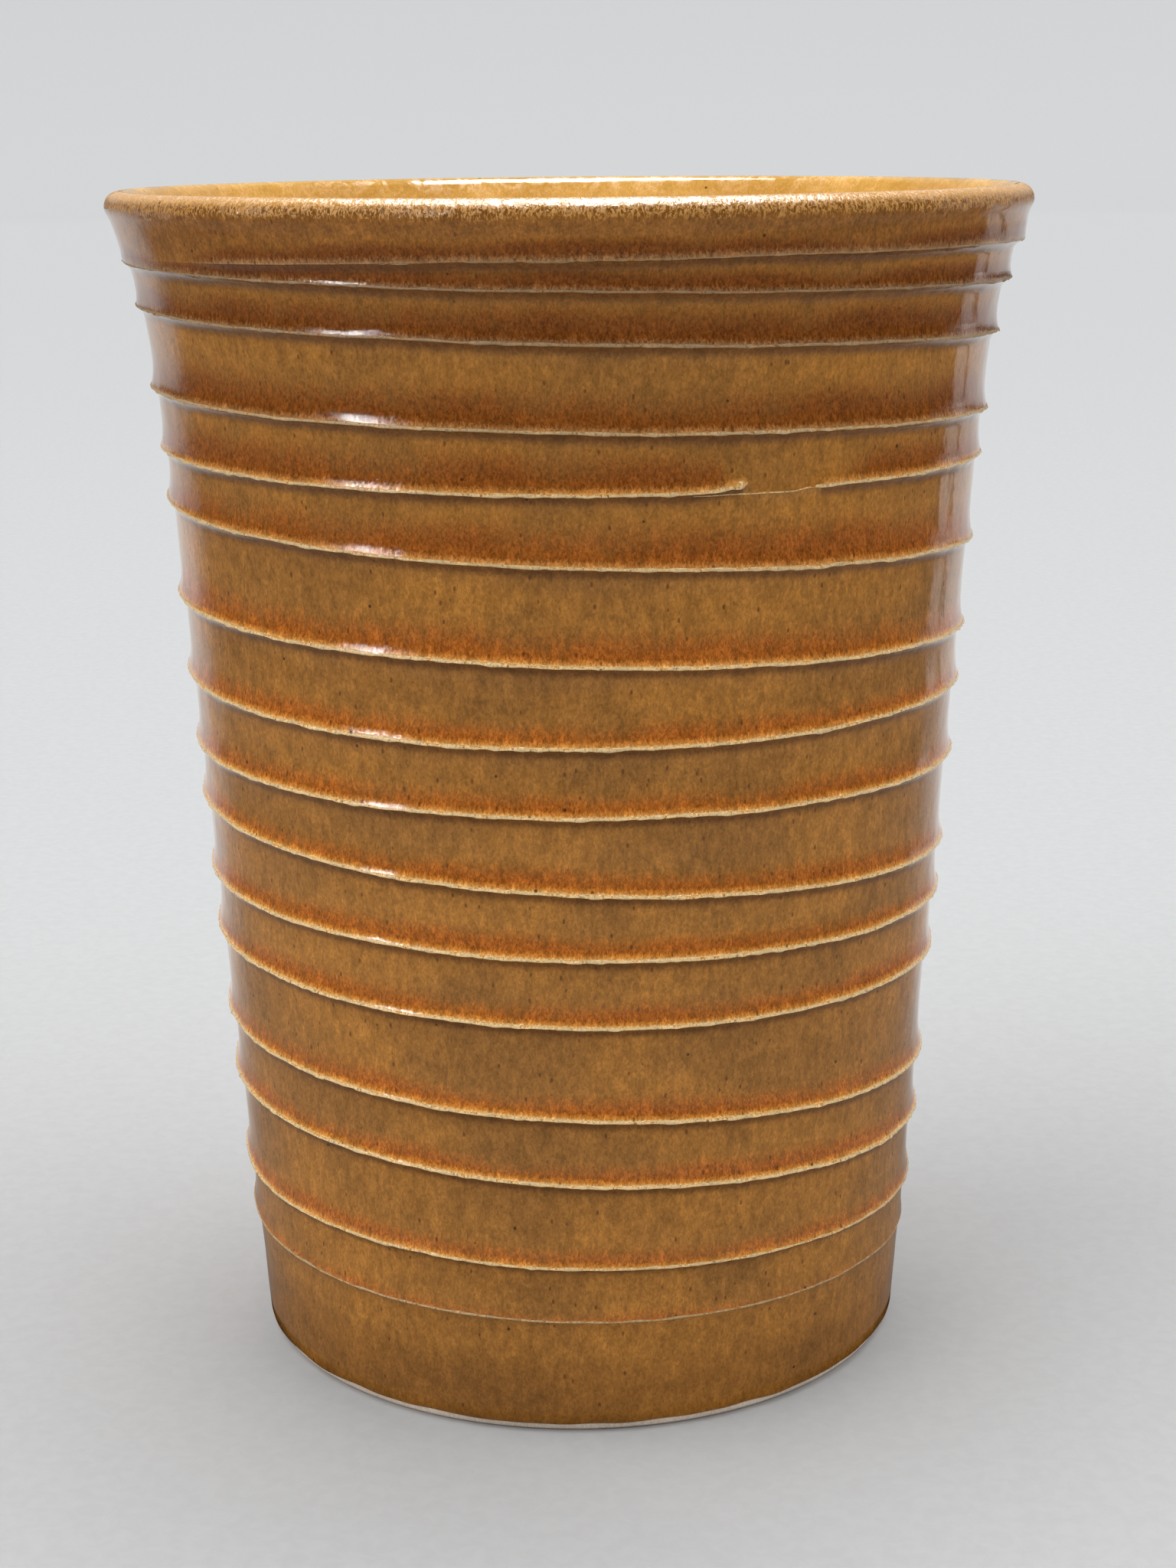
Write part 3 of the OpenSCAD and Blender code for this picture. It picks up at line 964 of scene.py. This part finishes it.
def makeCard():
    made, tree, shader = newMaterial("darkCard", Roughness=1)
    place = objectPlace(tree)
    way = addNode(tree, "ShaderNodeSeparateXYZ", {0: place}).outputs
    azimuth = mathNode(tree, "ARCTAN2", way["X"], mathNode(tree, "MULTIPLY", way["Y"], -1.0))
    far = addNode(tree, "ShaderNodeVectorMath", {0: place}, operation="LENGTH").outputs["Value"]
    away = remap(tree, far, *card["clear"])

    def beyond(angle, side, soft):
        turned = mathNode(tree, "MULTIPLY", azimuth, side)
        return remap(tree, turned, math.radians(angle - soft), math.radians(angle + soft))

    def behind(right, left):
        return mathNode(tree, "ADD", beyond(card["right"], 1.0, right), beyond(card["left"], -1.0, left))

    blur, right, left = card["soft"]
    strip = [beyond(angle, 1.0, right) for angle in card["strip"]]
    strip = mathNode(tree, "SUBTRACT", *strip)
    clear = mathNode(tree, "ADD", strip, behind(right, left), clamp=True)
    blurred = mathNode(tree, "MULTIPLY", behind(blur, blur), mathNode(tree, "SUBTRACT", 1.0, away))
    shown = mathNode(tree, "ADD", mathNode(tree, "MULTIPLY", clear, away), blurred)
    colour = blendColour(tree, remap(tree, far, card["near"], card["far"]), card["pale"], card["dark"])
    tree.links.new(blendColour(tree, shown, colour, card["behind"]), shader.inputs["Base Color"])
    bpy.ops.object.select_all(action="DESELECT")
    bpy.ops.mesh.primitive_plane_add(size=card["size"])
    piece = bpy.context.object
    piece.name = "card"
    bpy.ops.object.mode_set(mode="EDIT")
    bpy.ops.transform.translate(value=(0, 0, card["above"]))
    bpy.ops.object.mode_set(mode="OBJECT")
    piece.data.materials.append(made)
    piece.visible_camera = piece.visible_diffuse = piece.visible_shadow = False
    print("laid the card")


def lightWay(azimuth, elevation):
    a, e = math.radians(azimuth), math.radians(elevation)
    return Vector((math.sin(a) * math.cos(e), -math.cos(a) * math.cos(e), math.sin(e)))


# lamps that only show in the glaze: azimuth, elevation, width, height, power and distance
lamps = {
    "overhead": (202, 83.2, 0.28, 0.6, 34, 0.9),
    "overheadRight": (116, 75.5, 0.6, 0.12, 16, 0.9),
    "backdrop": (180, 26, 1.86, 0.7, 2.1, 0.9),
    "leftWindow": (-57, 18, 0.013, 0.3, 2.6, 0.9),
    "rightWindow": (126.5, 15, 0.14, 0.5, 0.24, 0.9),
}
lampAim = Vector((0, 0, cup["height"] * 0.6))


def addLamps():
    for name, (azimuth, elevation, wide, tall, power, away) in lamps.items():
        lamp = bpy.data.lights.new(name, "AREA")
        lamp.shape = "RECTANGLE"
        lamp.size, lamp.size_y, lamp.energy = wide, tall, power
        made = bpy.data.objects.new(name, lamp)
        scene.collection.objects.link(made)
        way = lightWay(azimuth, elevation)
        made.location = lampAim + way * away
        made.rotation_euler = way.to_track_quat("Z", "Y").to_euler()
        made.visible_diffuse = made.visible_camera = False
    print("hung", len(lamps), "lamps")


room = {"colour": (0.95, 0.98, 1.0), "strength": 0.55}


def makeRoom():
    world = bpy.data.worlds.new("room")
    scene.world = world
    world.use_nodes = True
    background = world.node_tree.nodes["Background"]
    background.inputs["Color"].default_value = (*room["colour"], 1)
    background.inputs["Strength"].default_value = room["strength"]
    world.cycles_visibility.glossy = False      # only the card and the lamps show in the glaze
    print("lit the room")


# wide soft suns from both sides and from behind, which make no highlights of their own
suns = {
    "spread": math.radians(60),
    "colour": (1, 0.985, 0.96),
    # azimuth, elevation and strength
    "ways": {"left": (-70, 48, 1.5), "right": (75, 48, 0.85), "back": (170, 58, 1.1)},
}


def addSuns():
    for name, (azimuth, elevation, strength) in suns["ways"].items():
        lamp = bpy.data.lights.new(name, "SUN")
        lamp.angle, lamp.energy, lamp.color = suns["spread"], strength, suns["colour"]
        made = bpy.data.objects.new(name, lamp)
        scene.collection.objects.link(made)
        made.rotation_euler = lightWay(azimuth, elevation).to_track_quat("Z", "Y").to_euler()
        made.visible_glossy = False
    print("set", len(suns["ways"]), "suns")


makeStage()
makeCard()
makeRoom()
addSuns()
addLamps()
scene.view_settings.view_transform = "Standard"

# camera at the photo's place
view = {
    "at": (0, -244.2 * mm, 111.4 * mm),
    "pitch": 13.87,     # degrees
    "yaw": 0.2725,
    "roll": 0.542,
    "lens": 61.5,
    "sensor": 36,
    "nearest": 10 * mm,
}
camera = bpy.data.cameras.new("camera")
camera.lens = view["lens"]
camera.sensor_width = view["sensor"]
camera.clip_start = view["nearest"]
eye = bpy.data.objects.new("camera", camera)
scene.collection.objects.link(eye)
turnZ = Matrix.Rotation(-math.radians(view["yaw"]), 4, "Z")
turnX = Matrix.Rotation(math.radians(90 - view["pitch"]), 4, "X")
turnRoll = Matrix.Rotation(-math.radians(view["roll"]), 4, "Z")
eye.location = view["at"]
eye.rotation_euler = (turnZ @ turnX @ turnRoll).to_euler()
scene.camera = eye
print("placed the camera")
